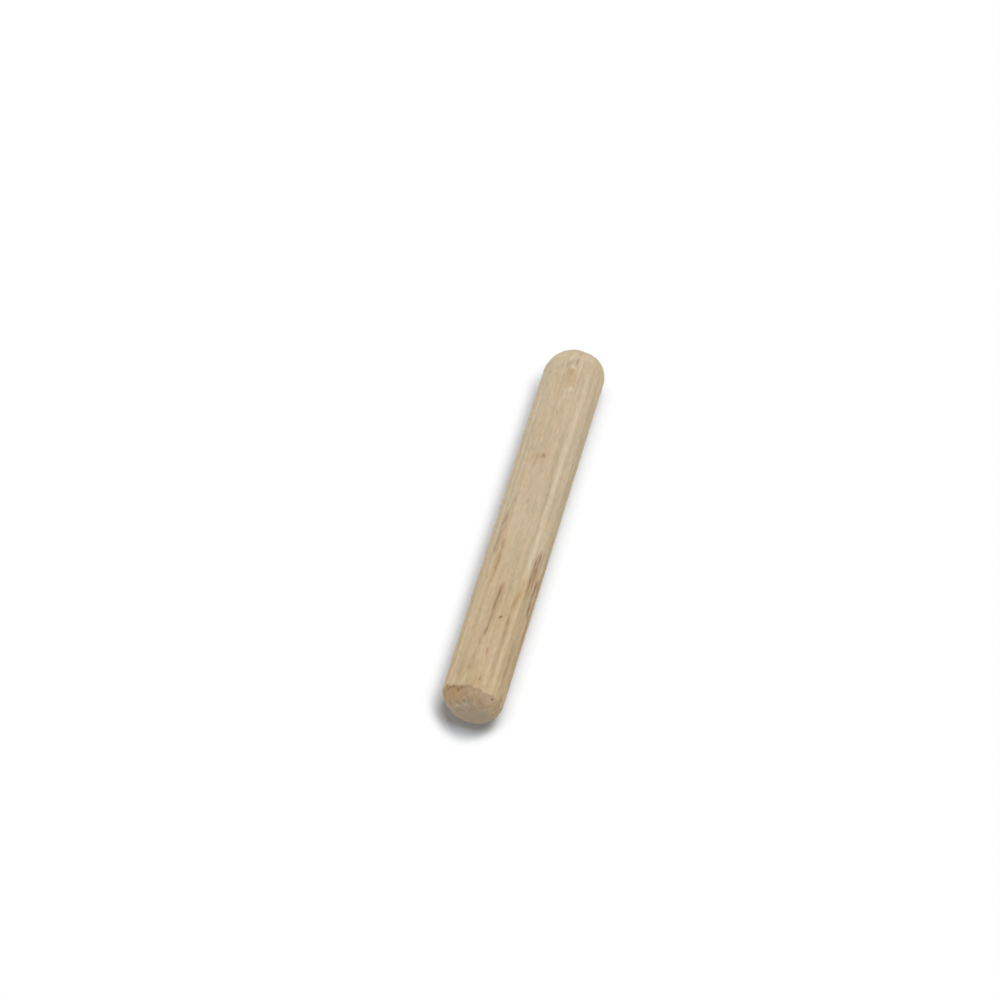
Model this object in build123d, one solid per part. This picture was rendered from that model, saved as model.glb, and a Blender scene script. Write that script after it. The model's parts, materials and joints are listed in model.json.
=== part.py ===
from build123d import *
import os

# A fluted wooden dowel pin, lying on two of its crests along X. One solid, in millimetres.
# The origin is on the surface that the pin lies on, under the middle of its length.

# driving dimensions
crest_diameter = 8.0        # over the crests, the size of the hole that the pin is glued into
pin_length = 54.0           # from one end flat to the other
flute_count = 19            # odd, so the groove underneath lies opposite a crest
flute_width = 0.60          # across a groove's mouth, before its edges are rounded
flute_depth = 0.18          # from the crest circle to the bottom of a groove
crest_edge_radius = 0.05    # rounding of the two long edges of each crest
front_flat_diameter = 4.2   # the sawn face left in the middle of the front end, at -X
front_round_length = 2.4    # how far the rounding of that end reaches along the pin
front_round_bulge = 0.28    # how far that rounding stands out from a straight chamfer
back_flat_diameter = 3.5    # the same three sizes at the back end, which is nearly a dome
back_round_length = 3.1
back_round_bulge = 0.50

# derived dimensions
crest_radius = crest_diameter / 2
half_length = pin_length / 2
mouth_height = (crest_radius**2 - flute_width**2 / 4) ** 0.5     # the pin's axis to the mouth's chord
groove_sag = flute_depth - (crest_radius - mouth_height)         # that chord to the groove's bottom
groove_radius = (flute_width**2 / 4 + groove_sag**2) / (2 * groove_sag)
groove_centre = crest_radius - flute_depth + groove_radius       # the pin's axis to the groove's own centre


def resting_height():
    """Height of the pin's axis when it lies on the two crests beside its lowest groove.

    The rounding of a crest's edge touches the crest circle on the line from the axis through the
    rounding's centre, whose distances to the axis and to the groove's centre are both known.
    """
    to_axis = crest_radius - crest_edge_radius
    to_groove = groove_radius + crest_edge_radius
    cosine = (to_axis**2 + groove_centre**2 - to_groove**2) / (2 * to_axis * groove_centre)
    return crest_radius * cosine


def fluted_section():
    """The cross-section: a disc with round-bottomed grooves at equal pitches, the first one underneath."""
    with BuildSketch() as section:
        Circle(crest_radius)
        with PolarLocations(groove_centre, flute_count, start_angle=-90):
            Circle(groove_radius, mode=Mode.SUBTRACT)
        fillet(section.vertices(), crest_edge_radius)
    return section.sketch


def end_cutter(flat_radius, round_length, round_bulge):
    """What the rounding takes off the +Z end: a ring bounded inside by an arc that bulges from the chamfer line."""
    shoulder = Vector(crest_radius, half_length - round_length)
    flat_edge = Vector(flat_radius, half_length)
    chamfer = flat_edge - shoulder
    outward = Vector(chamfer.Y, -chamfer.X).normalized()
    crown = (shoulder + flat_edge) / 2 + outward * round_bulge
    clear_radius = crest_radius + round_length
    clear_end = half_length + round_length
    with BuildSketch(Plane.XZ) as profile:
        with BuildLine():
            ThreePointArc(shoulder, crown, flat_edge)
            Polyline(
                flat_edge,
                (flat_radius, clear_end),
                (clear_radius, clear_end),
                (clear_radius, shoulder.Y),
                shoulder,
            )
        make_face()
    return revolve(profile.sketch, Axis.Z)


def dowel():
    """The fluted rod, sawn to length, with both ends rounded, laid down along X."""
    rod = extrude(fluted_section(), half_length, both=True)
    front_cutter = end_cutter(front_flat_diameter / 2, front_round_length, front_round_bulge)
    back_cutter = end_cutter(back_flat_diameter / 2, back_round_length, back_round_bulge)
    rounded = rod - back_cutter - mirror(front_cutter, Plane.XY)
    lying = Plane(origin=(0, 0, resting_height()), x_dir=(0, 1, 0), z_dir=(1, 0, 0))
    return lying.from_local_coords(rounded).solid()


os.makedirs("parts", exist_ok=True)
export_step(dowel(), "parts/dowel.step")
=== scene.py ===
import json
import math

import bpy
import numpy as np
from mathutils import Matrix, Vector


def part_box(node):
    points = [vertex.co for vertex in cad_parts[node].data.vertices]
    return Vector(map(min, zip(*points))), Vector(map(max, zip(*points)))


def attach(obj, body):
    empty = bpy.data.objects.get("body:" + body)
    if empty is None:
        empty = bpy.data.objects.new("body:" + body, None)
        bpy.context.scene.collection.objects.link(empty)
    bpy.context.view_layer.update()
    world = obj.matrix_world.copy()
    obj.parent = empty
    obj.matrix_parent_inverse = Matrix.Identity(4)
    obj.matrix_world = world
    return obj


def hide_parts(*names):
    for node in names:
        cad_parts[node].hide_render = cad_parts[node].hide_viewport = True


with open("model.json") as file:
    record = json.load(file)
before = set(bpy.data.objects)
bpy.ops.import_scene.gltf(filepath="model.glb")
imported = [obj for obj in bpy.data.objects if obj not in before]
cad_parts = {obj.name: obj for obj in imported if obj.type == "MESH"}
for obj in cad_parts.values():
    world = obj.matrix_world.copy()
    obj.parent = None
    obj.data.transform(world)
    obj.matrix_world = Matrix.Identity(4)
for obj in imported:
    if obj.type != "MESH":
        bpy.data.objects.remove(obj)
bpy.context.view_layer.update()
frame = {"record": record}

# ---------------------------------------------------------------------------------------------
# The pin: one short rod of pale hardwood, moulded round, with shallow flutes pressed along it
# that let glue and air out of the hole. It is sawn to length, and a cutter rounds both ends.
# It lies loose on the table: nothing is fixed to it.

# Lengths on the pin are in millimetres, and distances along it start at its front end, at -X.
# Angles are in degrees, turned from the top of the lying pin towards -Y.
METRE = 1000.0          # millimetres
shank = next(mount for mount in frame["record"]["mounts"] if mount["name"] == "shank")
low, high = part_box("dowel")
pin_length = (high.x - low.x) * METRE
crest_radius = shank["dims"]["r_mm"]
axis_height = shank["pos_m"][2] * METRE
straight_middle = pin_length / 2 + shank["pos_m"][0] * METRE

# How far each end's rounding reaches along the pin, the radius of its sawn face, and how far the
# rounding swells past a straight chamfer.
front_round = straight_middle - shank["dims"]["length_mm"] / 2
front_flat = 2.1
front_bulge = 0.34
back_round = pin_length - straight_middle - shank["dims"]["length_mm"] / 2
back_flat = 1.75
back_bulge = 0.50

flute_count = 19
flute_depth = 0.18
flute_half_width = 4.9          # degrees, from the middle of a groove to its edge
lowest_flute = 180.0            # degrees, the groove that faces the floor
crest_edge = 0.03               # how softly a groove's edge and the end's rounding meet the crests

columns_per_flute = 14
columns = flute_count * columns_per_flute
face_rows = 12                  # rows of the mesh on a sawn face, on a rounding and on the shank
round_rows = 24
shank_rows = 294

turn = np.arange(columns) * 360.0 / columns              # the angle of each column


def waves(where, size, seed, count=40):
    """Smooth noise of about -1 to 1 at the points `where`: the sum of `count` cosine waves that run
    in random directions, each with a random phase and a length of 0.6 to 1.6 times `size`."""
    dice = np.random.default_rng(seed)
    direction = dice.normal(size=(count, where.shape[-1]))
    direction /= np.linalg.norm(direction, axis=1)[:, None]
    number = 2 * math.pi / (size * dice.uniform(0.6, 1.6, count))
    total = np.zeros(where.shape[:-1])
    for ray, many, phase in zip(direction, number, dice.uniform(0, 2 * math.pi, count)):
        total += np.cos(where @ (ray * many) + phase)
    return total / math.sqrt(count)


def round_about(angle, size, seed):
    """The same noise along the rim of the pin, so that it closes on itself after one turn."""
    around = np.radians(angle)
    return waves(crest_radius * np.stack([np.sin(around), np.cos(around)], -1), size, seed)


def ease(value, start, end):
    """0 up to start, 1 from end on, and the smooth S of 3t2 - 2t3 between them."""
    t = np.clip((value - start) / (end - start), 0, 1)
    return t * t * (3 - 2 * t)


def turned(angle, centre):
    """The angle from centre, wrapped to between -180 and 180."""
    return (angle - centre + 180.0) % 360.0 - 180.0


def end_profile(reach, flat, bulge):
    """One end, as distance from its sawn face and radius, in rows from the middle of the face to the
    shank: a flat disc, then a straight chamfer line swollen by a parabola of height bulge."""
    across = np.linspace(1 / face_rows, 1, face_rows)[:, None]
    along = np.linspace(1 / round_rows, 1, round_rows)[:, None]
    rise = crest_radius - flat
    slant = np.hypot(reach, rise)
    swell = 4 * bulge * along * (1 - along)
    chamfer_distance = reach * along - swell * rise / slant
    chamfer_radius = flat + rise * along + swell * reach / slant
    return (
        np.concatenate([0 * across * flat, chamfer_distance]),
        np.concatenate([across * flat, chamfer_radius]),
    )


# The cutter did not meet the two ends alike: the front one keeps a flat, which lies a little to
# the -Y side, and the back one is a dome that is cut back further on the +Y side.
lean = np.cos(np.radians(turn - 90))                     # 1 on the -Y side and -1 on the +Y side
front_reach = front_round * (1 - 0.01 * lean + 0.03 * round_about(turn, 6.0, 3))
front_rim = front_flat * (1 + 0.13 * lean + 0.03 * round_about(turn, 5.0, 4))
front_swell = front_bulge * (1 + 0.15 * lean)
back_reach = back_round * (1 - 0.13 * lean + 0.02 * round_about(turn, 6.0, 5))
back_rim = back_flat * (1 + 0.03 * round_about(turn, 5.0, 6))
back_swell = back_bulge * (1.12 + 0.10 * lean)
front_distance, front_radius = end_profile(front_reach, front_rim, front_swell)
back_distance, back_radius = end_profile(back_reach, back_rim, back_swell)

step = np.linspace(0, 1, shank_rows + 2)[1:-1, None]
shank_distance = front_reach + (pin_length - back_reach - front_reach) * step
distance = np.concatenate([front_distance, shank_distance, pin_length - back_distance[::-1]])
radius = np.concatenate([front_radius, np.full(shank_distance.shape, crest_radius), back_radius[::-1]])
angle = np.broadcast_to(turn, distance.shape)


def flute_depths():
    """How deep the flutes are at each point, as a share of the full depth: a parabola across each
    groove, wandering by half a degree, worn flatter along the top and on its back half."""
    pitch = 360.0 / flute_count
    seam = ease(abs(turned(angle, 0)), 0, 1)         # the noise does not close on itself at angle 0
    drift = 0.5 * waves(np.stack([distance / 4, angle / 40], -1), 3.0, 11) * seam
    which = np.round(turned(angle, lowest_flute) / pitch)
    off = turned(angle, lowest_flute) - which * pitch + drift
    worn_top = np.exp(-((turned(angle, -13) / 37) ** 2))
    worn_back = np.exp(-((turned(angle, -5) / 80) ** 2))
    worn_back *= ease(distance, 0.20 * pin_length, 0.62 * pin_length)
    press = 0.84 - 0.50 * worn_top + 0.10 * np.sin(which * 2.4 + 1.0)
    fade = 1 - 0.60 * worn_back
    return np.clip(1 - (off / flute_half_width) ** 2, 0, 1) ** 1.15 * press * fade


# The smaller of the two radii holds: the end's rounding, or the crest less the flute. Where they
# are nearly equal, a parabola carries one into the other.
flute = flute_depths()
fluted_radius = crest_radius - flute_depth * flute
gap = radius - fluted_radius
cut = np.where(gap < crest_edge, (gap + crest_edge) ** 2 / (4 * crest_edge), gap)
radius = radius - np.where(gap > -crest_edge, cut, 0)

around = np.radians(angle)
place = np.stack([distance, -radius * np.sin(around), radius * np.cos(around)], -1)

# Torn end grain. On the front end it begins at a ragged line, where the cutter broke the fibres.
# The line has three steps: each has a middle angle, where it fades out, where it is full, and a rise.
torn_line = 2.02 + 0.08 * round_about(turn, 2.2, 21) + 0.07 * round_about(turn, 0.9, 22)
for middle, outer, inner, rise in [(-38, 44, 35, 0.16), (10, 9, 6, -0.10), (44, 16, 8, 0.14)]:
    torn_line = torn_line + rise * ease(abs(turned(turn, middle)), outer, inner)
torn = ease(torn_line - distance, -0.09, 0.11)
back_line = 1.3 + 0.15 * round_about(turn, 1.5, 23)
torn_back = ease(back_line - (pin_length - distance), -0.9, 0.7)

pits = [
    # distance from the front end, angle, half length along the pin, half width, depth and darkness
    (1.75, -56, 0.22, 0.20, 0.08, 0.6),
    (2.00, -38, 0.16, 0.18, 0.08, 0.5),
    (1.60, -28, 0.36, 0.26, 0.12, 0.55),
    (1.95, -17, 0.16, 0.14, 0.06, 0.5),
    (1.25, -15, 0.16, 0.12, 0.05, 0.4),
    (0.50, -13, 0.10, 0.30, 0.08, 0.6),
    (0.65, 9, 0.12, 0.14, 0.05, 0.4),
    (0.95, 24, 0.14, 0.16, 0.06, 0.5),
    (1.68, 47, 0.20, 0.28, 0.09, 0.75),
    (1.25, 66, 0.12, 0.14, 0.06, 0.4),
    (12.42, 10.2, 0.13, 0.13, 0.16, 0.9),
    (12.62, 13.2, 0.12, 0.15, 0.18, 1.0),
    (50.1, -20, 0.16, 0.14, 0.08, 0.45),
    (50.4, -7, 0.12, 0.20, 0.10, 0.3),
    (36.35, -1.4, 0.24, 0.32, 0.03, 0.39),
]
# Each pit is a dent, and its darkness goes into hollow: partly painted shade in the dent, partly dark wood.
dent = np.zeros_like(radius)
hollow = np.zeros_like(radius)
for pit_distance, pit_angle, half_length, half_width, depth, dark in pits:
    across = np.radians(turned(angle, pit_angle)) * radius
    bell = np.exp(-(((distance - pit_distance) / half_length) ** 2) - (across / half_width) ** 2)
    dent += depth * bell
    hollow = np.maximum(hollow, dark * bell)

# The torn parts lie a little low and are rough, and the rest has faint ridges along its fibres.
relief = torn * (0.035 * waves(place, 0.9, 31) + 0.02 * waves(place, 0.35, 32) - 0.05)
relief += torn_back * (0.03 * waves(place, 0.8, 33) + 0.02 * waves(place, 0.3, 34) - 0.03)
relief += (1 - torn) * 0.006 * waves(place * (0.12, 1, 1), 0.5, 35)


def outward(grid):
    """The outward unit normal of the grid of points: the cross product of its two tangents."""
    along = np.gradient(grid, axis=0)
    about = np.roll(grid, -1, axis=1) - np.roll(grid, 1, axis=1)
    normal = np.cross(about, along)
    size = np.linalg.norm(normal, axis=-1, keepdims=True)
    return normal / np.maximum(size, 1e-12)


highest = 0.01          # nothing stands further out than this, so that the pin keeps its size
skin = place + outward(place) * np.minimum(relief - dent, highest)[..., None]
skin = (skin + (-pin_length / 2, 0, axis_height)) / METRE


def streak(path, width):
    """How strongly a stain lies at each point. It follows a path of (distance, angle, strength) points
    joined by straight lines, and fades across as a bell curve of the given half width."""
    path_distance, path_angle, strength = np.array(sorted(path)).T
    beside = np.radians(turned(angle, np.interp(distance, path_distance, path_angle))) * crest_radius
    held = np.interp(distance, path_distance, strength, left=0, right=0)
    wobble = 0.90 + 0.25 * waves(place * (0.6, 2, 2), 0.9, int(path_distance[0] * 10))
    return np.clip(held * wobble, 0, 1) * np.exp(-(beside / width) ** 2)


# Every stain below is a path and a half width, and each point of a path is a distance, an angle and
# a strength. Brown is dark streaks in the grain, ochre is rust-like spots, pale is bare crests, chips
# and bruises, olive is grey-green bands, and pink is warmer bands. Past 90 and -90 degrees they lie
# on the underside.
brown_streaks = [
    ([(3.9, -16, 0), (4.7, -15.5, 0.8), (5.6, -14.6, 0.25), (7.4, -12.6, 0.22), (9.2, -9, 0.52),
      (10.4, -5.8, 1), (11.2, -4, 0.7), (12.3, -2.4, 0.8), (13.2, -2.6, 0.8), (14.8, -2.4, 0.95),
      (16.2, -2, 1), (16.8, -1.8, 0.8), (17.5, -1.8, 0)], 0.29),
    ([(8.5, -9.5, 0), (9.6, -7.8, 0.28), (10.6, -5.6, 0.34), (12.4, -2.8, 0.28), (14, -2.6, 0.28),
      (16, -2, 0.30), (17, -1.8, 0)], 0.50),
    ([(6.8, 6.4, 0), (7.2, 6.4, 0.65), (7.6, 6.6, 0.65), (8.1, 7.2, 0)], 0.18),
    ([(8.2, 8, 0), (9, 8.4, 0.4), (11.5, 8.6, 0.4), (12, 8.8, 0)], 0.11),
    ([(4.4, 27, 0), (5.2, 27, 0.12), (7.8, 27.5, 0.16), (10.5, 28, 0.30), (12.2, 28.2, 0.36),
      (13.6, 28.5, 0)], 0.22),
    ([(3.1, 10.3, 0), (3.5, 10.4, 0.9), (3.9, 10.8, 0)], 0.12),
    ([(21, -38.5, 0), (22, -37.5, 1.3), (23.4, -37.5, 1.3), (24.4, -37, 1.0), (26.2, -37.5, 0.9),
      (28, -34.8, 0.6), (29.6, -31.5, 0.4), (30.8, -28.5, 0)], 0.33),
    ([(16.8, -27, 0), (18, -26, 0.4), (19.2, -25.3, 0.6), (20, -25.3, 1), (20.8, -25.3, 0.7),
      (21.6, -25.5, 0.5), (22.4, -25.7, 0.6), (23.4, -26, 0.4), (23.9, -26, 0)], 0.25),
    ([(17.2, -38, 0), (18, -38, 0.4), (18.8, -38.5, 0)], 0.15),
    ([(20.6, -38.5, 0), (22, -37.5, 0.30), (23.6, -37, 0.30), (25.4, -36, 0)], 0.60),
    ([(15.8, 50, 0), (17.5, 50.5, 0.6), (19.5, 51, 0.75), (20.8, 51.5, 0.85), (22, 52, 1), (22.8, 54, 0.8),
      (23.4, 57.5, 0.6), (23.9, 60, 0)], 0.52),
    ([(13.5, 75, 0), (14.4, 73, 0.8), (15.4, 69, 0.9), (16.4, 66.5, 0.9), (17.5, 66, 0.9), (18.8, 68, 1),
      (19.8, 69, 0.95), (20.5, 71, 0)], 0.42),
    ([(11.5, 80, 0), (13, 79, 1), (15.5, 77, 1), (18, 78, 0.7), (20, 80, 0.5), (23, 81, 0.3),
      (27, 82, 0)], 0.50),
    ([(4, 82, 0), (6, 82, 0.7), (9, 81, 0.8), (12.5, 80, 0.7), (13, 79, 0)], 0.40),
    ([(3.4, 78, 0), (5, 78, 0.45), (10, 78, 0.55), (17, 78, 0.70), (20, 78, 0)], 0.80),
    ([(34.2, -14, 0), (34.8, -14, 0.35), (35.4, -14.2, 0.3), (36.2, -13.6, 0.35), (36.8, -13.5, 0)], 0.15),
    ([(35.8, -2.5, 0), (36.2, -1.8, 0.75), (36.5, -1.4, 0.75), (37, -2, 0)], 0.34),
    ([(42.4, -1, 0), (43, -0.6, 0.6), (43.5, -1.2, 0)], 0.13),
    ([(49.9, -13, 0), (50.15, -11.5, 0.5), (50.45, -8, 0.55), (50.7, -4, 0.3), (50.8, -3, 0)], 0.13),
    ([(50.2, 6.5, 0), (50.8, 7, 0.7), (51.8, 8, 0.8), (52.4, 8, 0.5), (53.2, 8, 0)], 0.10),
    ([(1.1, -73, 0), (1.4, -73, 0.5), (1.9, -74, 0.5), (2.3, -74, 0)], 0.35),
    ([(1, -50, 0), (1.3, -50, 0.30), (1.9, -50, 0.40), (2.15, -52, 0)], 1.00),
    ([(1.9, 53, 0), (2.3, 53, 0.5), (3, 54, 0.5), (7.5, 54, 0.50), (9.5, 54, 0.3), (11, 54, 0)], 0.27),
    ([(1.9, 68, 0), (2.3, 68, 0.7), (3, 70, 0.5), (3.8, 72, 0)], 0.50),
    ([(14.4, 29.5, 0), (15.3, 31, 0.40), (16.2, 33, 0.30), (17, 35, 0)], 0.24),
    ([(30, -152, 0), (34, -150, 0.7), (39, -149, 0.5), (43, -150, 0)], 0.24),
    ([(6, -118, 0), (10, -120, 0.5), (15, -121, 0.3), (18, -121, 0)], 0.18),
    ([(13, 166, 0), (15, 165, 0.9), (17.5, 165, 0.5), (19, 166, 0)], 0.20),
    ([(36, 118, 0), (39, 117, 0.6), (41, 116, 0.4), (44, 116, 0)], 0.26),
    ([(20, -97, 0), (21, -97, 0.7), (22.4, -96, 0)], 0.16),
    ([(44, -108, 0), (45, -109, 0.5), (47.6, -110, 0)], 0.14),
]
ochre_streaks = [
    ([(12.6, 27, 0), (13.6, 27.5, 0.5), (14.8, 29.2, 1.1), (15.6, 30.8, 1.15), (16.4, 33, 0.9),
      (17.4, 36, 0.5), (18.6, 38, 0.4), (19.6, 39, 0)], 0.27),
    ([(11.6, -2, 0), (13.4, -1.8, 0.28), (14.8, -1.6, 0.40), (15.7, -1.6, 0.65), (16.4, -1.6, 0.45),
      (17.1, -1.6, 0)], 0.28),
    ([(35.5, -2, 0), (36.1, -1.8, 0.35), (36.6, -1.8, 0.35), (37.3, -2, 0)], 0.42),
    ([(9.6, 28, 0), (11, 28, 0.8), (12.4, 28.3, 1), (13.2, 28, 0)], 0.28),
    ([(11.4, 13, 0), (12.2, 14, 0.5), (13.2, 14, 0)], 0.30),
    ([(17, -27, 0), (19, -26, 0.30), (23, -25.5, 0.35), (25, -25, 0)], 0.45),
    ([(3.9, 46, 0), (4.8, 46, 0.5), (5.6, 46, 0)], 0.25),
    ([(2.3, 64, 0), (2.6, 65, 0.7), (3, 66, 0)], 0.30),
    ([(1.7, 4, 0), (2.4, 4, 0.6), (3.4, 6, 0.75), (4.6, 6, 0)], 0.60),
    ([(24.8, 73, 0), (26, 74, 0.5), (27, 74, 0)], 0.35),
    ([(34.5, -16, 0), (36.2, -15, 0.4), (37.4, -14, 0)], 0.60),
    ([(30, -60, 0), (33, -60, 0.4), (37, -60, 0.4), (39, -60, 0)], 0.25),
    ([(46.4, 3, 0), (48, 2.5, 0.6), (49.3, 2, 0.65), (49.9, 2, 0)], 0.65),
    ([(49.2, 1, 0), (49.55, 1, 0.9), (49.75, 1, 0.9), (49.95, 1, 0)], 0.45),
]
pale_streaks = [
    ([(18.5, 34, 0), (21, 34.5, 0.8), (24, 36, 0.9), (27, 36, 0.6), (30, 34, 0.6), (34, 34.5, 0.75),
      (38, 35, 0.6), (42, 36, 0.3), (49, 36, 0.3), (50.5, 37, 0)], 0.28),
    ([(19, 44, 0), (22, 45, 0.5), (26, 46, 0.5), (28, 46, 0)], 0.35),
    ([(2.4, 19, 0), (3.5, 19, 0.5), (9, 20, 0.45), (13.5, 21, 0)], 0.25),
    ([(2.3, 36, 0), (3.5, 36, 0.5), (8, 36, 0.4), (10.5, 36, 0)], 0.20),
    ([(2.3, -50, 0), (3.5, -50, 0.4), (13, -49, 0.35), (18, -49, 0)], 0.20),
    ([(20, -50, 0), (24, -50, 0.4), (33, -51, 0.5), (40, -51, 0.5), (47, -52, 0)], 0.16),
    ([(4, 63, 0), (5, 63, 0.6), (6.5, 63, 0.4), (8, 63, 0)], 0.20),
    ([(46.3, 10, 0), (46.7, 10.5, 1.3), (47, 10.5, 1.3), (47.3, 10, 0)], 0.30),
    ([(49.7, 1, 0), (49.95, 2, 1.4), (50.15, 2, 1.4), (50.5, 4, 0)], 0.35),
    ([(50.9, -6.5, 0), (51.2, -6.5, 1.2), (51.6, -6, 1), (52, -6, 0)], 0.28),
    ([(45.2, 4, 0), (45.5, 3, 0.7), (45.8, 2, 0)], 0.25),
    ([(50.3, 13, 0), (50.7, 13, 0.7), (51.3, 12, 0)], 0.25),
    ([(39, -47, 0), (42, -48, 0.6), (46, -48, 0.5), (48, -48, 0)], 0.22),
    ([(5, -140, 0), (12, -139, 0.6), (26, -138, 0.7), (38, -138, 0)], 0.30),
    ([(24, 132, 0), (30, 133, 0.7), (42, 134, 0.6), (50, 134, 0)], 0.34),
    ([(18, -6, 0), (21, -6, 0.25), (27, -5, 0.28), (30, -4, 0)], 0.55),
    ([(5, -10, 0), (7, -10, 0.30), (12, -11, 0.28), (15, -10, 0)], 0.75),
    ([(5, -4, 0), (7, -4, 0.30), (8.5, -3, 0.30), (10, -2, 0)], 0.35),
    ([(8, 38, 0), (10, 38, 0.24), (14, 38, 0.28), (16, 38, 0)], 0.40),
    ([(30, 51, 0), (36, 51, 0.22), (50, 51, 0.22), (52, 51, 0)], 0.55),
    ([(38, -33, 0), (42, -33, 0.20), (51, -33, 0.20), (53, -33, 0)], 0.50),
]
olive_streaks = [
    ([(2.4, -36, 0), (4, -36, 0.8), (6.5, -36, 0.7), (8.5, -36, 0.2), (16, -36, 0)], 0.45),
    ([(2.2, 60, 0), (3.5, 60, 1), (8, 59, 1), (13, 55, 0.9), (16, 52, 0.8), (18, 51, 0)], 0.46),
    ([(24, -42, 0), (28, -42, 0.4), (34, -41, 0.6), (40, -41, 0.6), (46, -40, 0.3), (48, -38, 0)], 0.40),
    ([(27, 28, 0), (29.5, 28, 0.6), (31.5, 28.5, 0.9), (33, 25, 0.6), (36, 23.5, 0.6), (40, 22.5, 0.5),
      (43, 22, 0)], 0.30),
    ([(19, -2, 0), (22, 0, 0.4), (24.5, 2, 0)], 0.60),
    ([(28, 10, 0), (29, 11, 0.5), (30, 12, 0)], 0.50),
    ([(3, -62, 0), (8, -62, 0.25), (30, -62, 0.3), (48, -62, 0.3), (52, -62, 0)], 0.80),
    ([(3, 77, 0), (6, 77, 0.4), (14, 76, 0.4), (20, 76, 0.6), (26, 76, 0.9), (32, 74, 1), (46, 74, 0.8),
      (52, 76, 0)], 0.90),
    ([(47.1, -15, 0), (47.5, -15, 0.8), (47.9, -15, 0)], 0.30),
    ([(48.2, -22, 0), (48.7, -30, 0.8), (49.2, -44, 0.8), (49.5, -50, 0)], 0.45),
    ([(49.8, -19.5, 0), (50.1, -20, 1), (50.4, -20.5, 0)], 0.18),
    ([(4, -55, 0), (8, -55, 0.45), (16, -56, 0.35), (27, -56, 0.5), (42, -57, 0.4), (48, -57, 0)], 0.16),
    ([(3, -95, 0), (14, -94, 0.6), (30, -96, 0.8), (46, -95, 0)], 0.55),
    ([(18, 150, 0), (28, 151, 0.8), (44, 150, 0.5), (50, 149, 0)], 0.70),
    ([(8, -170, 0), (20, -168, 0.6), (34, -168, 0)], 0.45),
    ([(15, 21, 0), (18, 21, 0.28), (22, 21, 0.32), (24.5, 21, 0)], 0.35),
    ([(34, -27, 0), (37, -28, 0.22), (39, -30, 0.22), (41, -31, 0)], 0.50),
]
pink_streaks = [
    ([(9, -22, 0), (12, -22, 0.5), (16, -20, 0.6), (20, -15, 0.5), (24, -12, 0)], 0.60),
    ([(16, 2, 0), (20, 8, 0.6), (24, 10, 0.7), (28, 10, 0.5), (30, 8, 0)], 0.90),
    ([(30, -4, 0), (33, -3, 0.7), (36, 2, 0.9), (38.5, 4, 1), (41, 8, 0.8), (44, 15, 0.7), (47, 18, 0.5),
      (49, 15, 0)], 1.00),
]


def stained(streaks):
    """The strongest of the streaks at each point."""
    return np.max([streak(path, width) for path, width in streaks], axis=0)


def close_ends(values):
    """The values row by row, with the mean of the first and the last row added for the two poles."""
    rows = values.reshape(values.shape[0] * columns, -1)
    return np.concatenate([rows, rows[:columns].mean(0)[None], rows[-columns:].mean(0)[None]])


def closed_skin(name, grid):
    """A closed mesh over the grid: a quad between each two rows and columns, wrapping round the pin,
    and a fan of triangles from the first and the last row to a pole in the middle of each end."""
    rows = grid.shape[0]
    number = np.arange(rows * columns).reshape(rows, columns)
    after = np.roll(number, -1, axis=1)
    quads = np.stack([number[:-1], after[:-1], after[1:], number[1:]], -1).reshape(-1, 4)
    front_pole, back_pole = rows * columns, rows * columns + 1
    front_fan = np.stack([np.full(columns, front_pole), after[0], number[0]], -1)
    back_fan = np.stack([np.full(columns, back_pole), number[-1], after[-1]], -1)
    mesh = bpy.data.meshes.new(name)
    mesh.from_pydata(close_ends(grid).tolist(), [], quads.tolist() + front_fan.tolist() + back_fan.tolist())
    mesh.shade_smooth()
    mesh.update()
    return mesh


pin_mesh = closed_skin("fluted_pin", skin)

# On the front end there is a scorched patch on the +Y side, a painted highlight along the edge just
# behind the torn line and another round the upper side of the sawn face, and a dark band just inside
# the torn line: partly painted shade under the step there, partly dark notches where fibres broke out.
scorch = torn * ease(abs(turned(angle, -50)), 48, 18) * ease(distance, 0.2, 1.1)
lip_highlight = np.exp(-(((distance - torn_line - 0.16) / 0.14) ** 2)) * ease(abs(turned(angle, 20)), 34, 14)
lip_highlight *= 0.28 + 0.30 * waves(place, 1.2, 52)
rim = np.exp(-(((distance - 0.16) / 0.12) ** 2)) * ease(abs(turned(angle, -24)), 34, 14)
rim *= 0.30 + 0.25 * waves(place, 0.9, 53)
notches_and_step_shade = torn * np.exp(-(((torn_line - distance - 0.22) / 0.22) ** 2))
notches_and_step_shade *= ease(abs(turned(angle, -38)), 36, 20) * (0.5 + 0.6 * waves(place * (0.4, 1, 1), 0.5, 54))
# Pale also holds the painted highlights of the front end, and brown holds its painted shade inside the torn
# line.
traits = {
    "brown": np.maximum(stained(brown_streaks), notches_and_step_shade),
    "ochre": np.maximum(stained(ochre_streaks), scorch * (0.75 + 0.3 * waves(place, 0.5, 51))),
    "pale": np.maximum(stained(pale_streaks), np.clip(lip_highlight + rim, 0, 1)),
    "olive": stained(olive_streaks),
    "pink": stained(pink_streaks),
    "groove": flute,
    "torn": torn,
    "torn_back": torn_back,
    "hollow": np.clip(hollow, 0, 1),
}
for mark, values in traits.items():
    layer = pin_mesh.attributes.new(mark, "FLOAT", "POINT")
    layer.data.foreach_set("value", close_ends(values)[:, 0].astype(np.float32))

pin = bpy.data.objects.new("fluted_pin", pin_mesh)
bpy.context.scene.collection.objects.link(pin)


def cleared(owner):
    """The owner's node tree, emptied."""
    owner.use_nodes = True
    owner.node_tree.nodes.clear()
    return owner.node_tree


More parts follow.
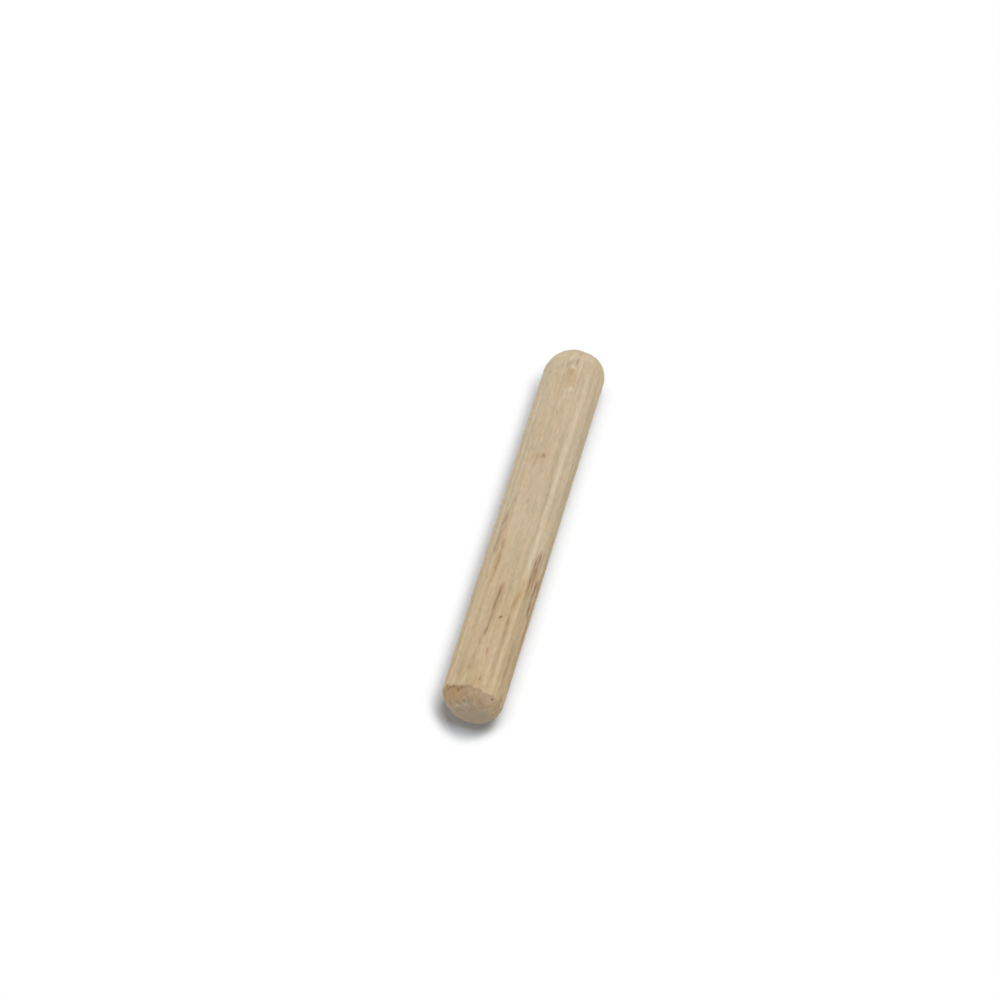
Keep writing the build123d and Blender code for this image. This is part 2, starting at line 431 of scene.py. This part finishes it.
def made(kind, label, settings=None, **inputs):
    """A new node of that kind in the current tree. A keyword names an input, or gives its number as
    in i0, and sets it to a value or links it to another node's output."""
    new = tree.nodes.new(kind)
    new.label = label
    for key, value in (settings or {}).items():
        setattr(new, key, value)
    for key, value in inputs.items():
        socket = new.inputs[int(key[1:])] if key[1:].isdigit() else new.inputs[key.replace("_", " ")]
        if isinstance(value, bpy.types.NodeSocket):
            tree.links.new(value, socket)
        else:
            socket.default_value = value
    return new


wood = bpy.data.materials.new("pale_hardwood")
tree = cleared(wood)
coords = made("ShaderNodeTexCoord", "place").outputs["Object"]


def grain(label, along, across, detail, rough=0.55, shift=(0, 0, 0)):
    """Noise whose cells are `along` mm long and `across` mm wide, as fibres lie in the wood."""
    size = (METRE / along, METRE / across, METRE / across)
    spread = made("ShaderNodeMapping", label, Vector=coords, Scale=size, Location=shift)
    return made(
        "ShaderNodeTexNoise", label, Vector=spread.outputs[0], Scale=1.0, Detail=detail, Roughness=rough
    ).outputs["Fac"]


def ranged(label, value, low_in, high_in, low_out=0.0, high_out=1.0):
    """The value carried from one range to another, and held at its ends."""
    node = made(
        "ShaderNodeMapRange", label, {"clamp": True, "interpolation_type": "SMOOTHSTEP"},
        Value=value, From_Min=low_in, From_Max=high_in, To_Min=low_out, To_Max=high_out,
    )
    return node.outputs["Result"]


def trait(name):
    """One of the values painted on the mesh."""
    return made("ShaderNodeAttribute", name, {"attribute_name": name}).outputs["Fac"]


def maths(operation, first, second=0.0):
    """One step of arithmetic, on one value or two."""
    return made("ShaderNodeMath", operation, {"operation": operation}, i0=first, i1=second).outputs[0]


def mixed(label, amount, below, above, blend="MIX"):
    """One colour laid over another by the amount."""
    return made(
        "ShaderNodeMix", label, {"data_type": "RGBA", "blend_type": blend}, i0=amount, i6=below, i7=above
    ).outputs[2]


cream = (0.605, 0.489, 0.327, 1)
tan = (0.525, 0.410, 0.264, 1)
pinkish = (0.575, 0.430, 0.290, 1)
grey_tan = (0.500, 0.415, 0.275, 1)
olive = (0.370, 0.310, 0.190, 1)
yellowed = (0.972, 0.930, 0.830, 1)      # multiplies the front half
# Painted shade for the flutes: a brown laid into each groove, strongest where the groove is deepest.
groove_shade = (0.340, 0.220, 0.120, 1)
brown = (0.231, 0.114, 0.052, 1)
ochre = (0.450, 0.260, 0.095, 1)
straw = (0.695, 0.608, 0.465, 1)
end_brown = (0.405, 0.300, 0.188, 1)
end_grey = (0.405, 0.322, 0.218, 1)
dome_grey = (0.430, 0.355, 0.235, 1)
# The colour laid into the pits: partly painted shade in the dents, partly dark wood.
pit_shade_and_stain = (0.170, 0.095, 0.045, 1)

# Noise at several scales: broad bands and tints, then the fibres, hairs, broken lines and pores.
bands = ranged("bands", grain("bands", 26, 1.3, 3), 0.35, 0.65)
tint = ranged("tint", grain("tint", 12, 2.4, 3, shift=(7, 3, 1)), 0.38, 0.62)
dull = ranged("dull", grain("dull", 18, 0.9, 3, shift=(3, 9, 4)), 0.50, 0.68)
mottle = grain("mottle", 0.9, 0.30, 2, 0.6, shift=(1, 4, 2))
fibre = grain("fibre", 7, 0.16, 4, 0.6)
hair = grain("hair", 3, 0.05, 3, 0.6, shift=(5, 5, 5))
lines = ranged("lines", grain("lines", 5, 0.13, 2, shift=(9, 1, 7)), 0.42, 0.56, 0.32, 1.1)
patches = ranged("patches", grain("patches", 1.4, 1.1, 4, 0.6, shift=(6, 2, 3)), 0.46, 0.66, 0, 0.38)
pores = ranged("pores", grain("pores", 1.6, 0.10, 1, 0.5, shift=(2, 8, 6)), 0.66, 0.74)
end_grain = maths("MAXIMUM", trait("torn"), trait("torn_back"))

# Growth rings on the end grain, round a pith that lies outside the pin.
pith = made("ShaderNodeMapping", "pith", Vector=coords, Scale=(0, METRE, METRE), Location=(0, 9, -16))
rings = made(
    "ShaderNodeTexWave", "growth rings", {"wave_type": "RINGS", "rings_direction": "X"},
    Vector=pith.outputs[0], Scale=0.33, Distortion=2.2, Detail=2.0, Detail_Scale=1.0,
).outputs["Fac"]

# The colours, laid one over another: the wood, its stains, the torn ends, and the marks on them,
# with painted shade in the grooves and pits and painted highlights on the front end.
colour = mixed("bands", bands, tan, cream)
colour = mixed("tint", maths("MULTIPLY", tint, 0.35), colour, pinkish)
colour = mixed("dull", maths("MULTIPLY", dull, 0.5), colour, grey_tan)
lengthwise = made("ShaderNodeSeparateXYZ", "lengthwise", Vector=coords).outputs["X"]
front_half = ranged("front half", lengthwise, 4 / METRE, -16 / METRE)
colour = mixed("yellowed", front_half, colour, yellowed, "MULTIPLY")
# Pink and olive are tones of the wood; the groove mix is painted shade, darkening each flute's groove by its
# depth.
for mark, amount, stain in [("pink", 0.45, pinkish), ("olive", 0.65, olive), ("groove", 0.28, groove_shade)]:
    colour = mixed(mark, maths("MULTIPLY", trait(mark), amount), colour, stain)
colour = mixed("pores", maths("MULTIPLY", pores, 0.30), colour, brown)
colour = mixed("torn", maths("MULTIPLY", trait("torn"), 0.8), colour, end_brown)
colour = mixed("torn patches", maths("MULTIPLY", trait("torn"), patches), colour, brown)
ragged = maths("ADD", lengthwise, maths("MULTIPLY", maths("SUBTRACT", patches, 0.15), 1.4 / METRE))
sawn_face = ranged("sawn face", ragged, (0.7 - pin_length / 2) / METRE, (0.1 - pin_length / 2) / METRE)
colour = mixed("sawn face", sawn_face, colour, end_grey)
colour = mixed("torn back", maths("MULTIPLY", trait("torn_back"), 0.55), colour, dome_grey)
colour = mixed("growth rings", maths("MULTIPLY", maths("MULTIPLY", end_grain, rings), 0.11), colour, brown)
# The pale mix holds pale streaks and also the painted highlights along the torn line and round the sawn
# face.
colour = mixed("pale", maths("MULTIPLY", trait("pale"), 0.65), colour, straw)
colour = mixed("ochre", maths("MULTIPLY", trait("ochre"), 0.6), colour, ochre)
# The brown mix holds the dark streaks and also the painted shade just inside the torn line.
colour = mixed("brown", maths("MULTIPLY", trait("brown"), lines), colour, brown)
# The pits are darkened: partly painted shade in the dents, partly dark wood.
colour = mixed("hollow", ranged("hollow", trait("hollow"), 0.15, 0.75, 0, 0.9), colour, pit_shade_and_stain)

# A faint light and dark along the fibres, which multiplies all of it.
shade = ranged("fibre", fibre, 0.3, 0.7, 0.95, 1.045)
shade = maths("MULTIPLY", shade, ranged("hair", hair, 0.3, 0.7, 0.96, 1.03))
shade = maths("MULTIPLY", shade, ranged("mottle", mottle, 0.3, 0.7, 0.94, 1.06))
shade_colour = made("ShaderNodeCombineColor", "shade", i0=shade, i1=shade, i2=shade).outputs[0]
colour = mixed("shade", 1.0, colour, shade_colour, "MULTIPLY")

height = maths("ADD", maths("MULTIPLY", fibre, 0.6), maths("MULTIPLY", hair, 0.4))
height = maths("SUBTRACT", height, maths("MULTIPLY", pores, 0.5))
bump = made("ShaderNodeBump", "fibres", Height=height, Distance=0.03 / METRE, Strength=0.6).outputs[0]

bare_wood = made(
    "ShaderNodeBsdfPrincipled", "bare wood",
    Base_Color=colour, Roughness=0.68, Specular_IOR_Level=0.3, Normal=bump,
)
made("ShaderNodeOutputMaterial", "out", Surface=bare_wood.outputs[0])
pin_mesh.materials.append(wood)

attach(pin, "root")
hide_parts("dowel")

# ---------------------------------------------------------------------------------------------
# The floor: a plain white table top, far wider than the pin. What the camera sees of it close to
# the pin is painted a light grey, a painted shadow round the pin on top of the rendered one, which
# stays there; away from the pin it turns to an even white.

floor_half = 2.0          # metres
corners = np.array([(-1, -1, 0), (1, -1, 0), (1, 1, 0), (-1, 1, 0)]) * floor_half
floor_mesh = bpy.data.meshes.new("floor")
floor_mesh.from_pydata(corners.tolist(), [], [(0, 1, 2, 3)])
floor = bpy.data.objects.new("floor", floor_mesh)
bpy.context.scene.collection.objects.link(floor)


def seen_rays():
    """1 for the rays that the camera sees by, straight, off a gloss or through glass, else 0."""
    path = made("ShaderNodeLightPath", "ray")
    seen = maths("MAXIMUM", path.outputs["Is Camera Ray"], path.outputs["Is Glossy Ray"])
    return maths("MAXIMUM", seen, path.outputs["Is Transmission Ray"])


table_top = bpy.data.materials.new("table_top")
tree = cleared(table_top)
seen = seen_rays()
spot = made("ShaderNodeSeparateXYZ", "spot", Vector=made("ShaderNodeTexCoord", "place").outputs["Object"])

# How far a spot is from the pin's middle line, which is cut short by inset at both ends and moved
# by fall towards +Y, where the shadow falls. A roundness of 2 would draw a half circle past each
# end, and less cuts the corners off.
inset = 3.4
fall = 0.6
roundness = 1.7
past_end = maths("SUBTRACT", maths("ABSOLUTE", spot.outputs["X"]), (pin_length / 2 - inset) / METRE)
past_end = maths("MAXIMUM", past_end, 0.0)
beside = maths("SUBTRACT", spot.outputs["Y"], fall / METRE)
from_pin = maths("POWER", maths("ABSOLUTE", beside), roundness)
from_pin = maths("POWER", maths("ADD", maths("POWER", past_end, roundness), from_pin), 1 / roundness)
away = ranged("away from the pin", from_pin, 4.4 / METRE, 6.25 / METRE)
close_by = ranged("close by", from_pin, 5.2 / METRE, 3.2 / METRE)

plain_white = (0.850, 0.850, 0.850, 1)
# Painted shadow: the grey that the camera sees on the floor close to the pin, cooler still right by it.
seen_shadow_grey = (0.842, 0.866, 0.896, 1)
seen_close_by = (0.848, 0.900, 0.955, 1)      # cooler, because the pin throws warm light on it
seen_colour = mixed("cooler close by", close_by, seen_shadow_grey, seen_close_by)
paint_colour = mixed("as it is seen", seen, plain_white, seen_colour)
paint = made("ShaderNodeBsdfDiffuse", "white paint", Color=paint_colour)
glow = made("ShaderNodeEmission", "even white", Color=(1, 1, 1, 1), Strength=1.0)
evened = maths("MULTIPLY", seen, away)
blend = made("ShaderNodeMixShader", "evened", i0=evened, i1=paint.outputs[0], i2=glow.outputs[0])
made("ShaderNodeOutputMaterial", "out", Surface=blend.outputs[0])
floor_mesh.materials.append(table_top)

# ---------------------------------------------------------------------------------------------
# The light: a soft box almost overhead, which throws the close shadow, four low cards round the
# table that lift the pin's sides and ends, and a faint even sky.

world = bpy.data.worlds.new("sky")
bpy.context.scene.world = world
tree = cleared(world)
faint = 0.06
strength = ranged("white where it is seen", seen_rays(), 0, 1, faint, 1.0)
sky = made("ShaderNodeBackground", "sky", Color=(1, 1, 1, 1), Strength=strength)
made("ShaderNodeOutputWorld", "out", Surface=sky.outputs[0])

pin_middle = Vector((0, 0, 0.004))
plain = (1, 1, 1)
cool = (0.93, 0.96, 1.0)          # the side cards catch a cooler light than the overhead box


def softbox(name, place, width, height, power, tone):
    """A rectangular lamp of that size and place in metres, turned to face the middle of the pin."""
    lamp = bpy.data.lights.new(name, "AREA")
    lamp.shape = "RECTANGLE"
    lamp.size = width
    lamp.size_y = height
    lamp.energy = power
    lamp.color = tone
    holder = bpy.data.objects.new(name, lamp)
    holder.location = place
    holder.rotation_euler = (pin_middle - Vector(place)).to_track_quat("-Z", "Y").to_euler()
    holder.visible_camera = False
    bpy.context.scene.collection.objects.link(holder)


card_height = 0.08
softbox("overhead box", (0.094, -0.125, 0.65), 0.34, 0.34, 3.9, plain)
softbox("left card", (0, 0.49, 0.064), 0.5, card_height, 1.20, cool)
softbox("right card", (0, -0.49, 0.064), 0.5, card_height, 0.45, cool)
softbox("front card", (-0.59, 0, 0.074), 0.4, card_height, 0.8, plain)
softbox("back card", (0.59, 0, 0.074), 0.4, card_height, 0.8, plain)

# ---------------------------------------------------------------------------------------------
# The camera: it looks down on the pin from beyond its front end, a little from the -Y side, and
# through a long lens, so that the pin hardly narrows towards its back end.

stand = Vector((-0.2815, -0.0752, 0.5433))          # metres
aim = Vector((0.00583, 0.00492, 0.0))

camera = bpy.data.cameras.new("camera")
camera.sensor_width = 36.0          # millimetres, as the lens is
camera.lens = 172.4
camera.clip_start = 0.01
holder = bpy.data.objects.new("camera", camera)
holder.location = stand
holder.rotation_euler = (aim - stand).to_track_quat("-Z", "Y").to_euler()
bpy.context.scene.collection.objects.link(holder)
bpy.context.scene.camera = holder
bpy.context.scene.view_settings.view_transform = "Standard"
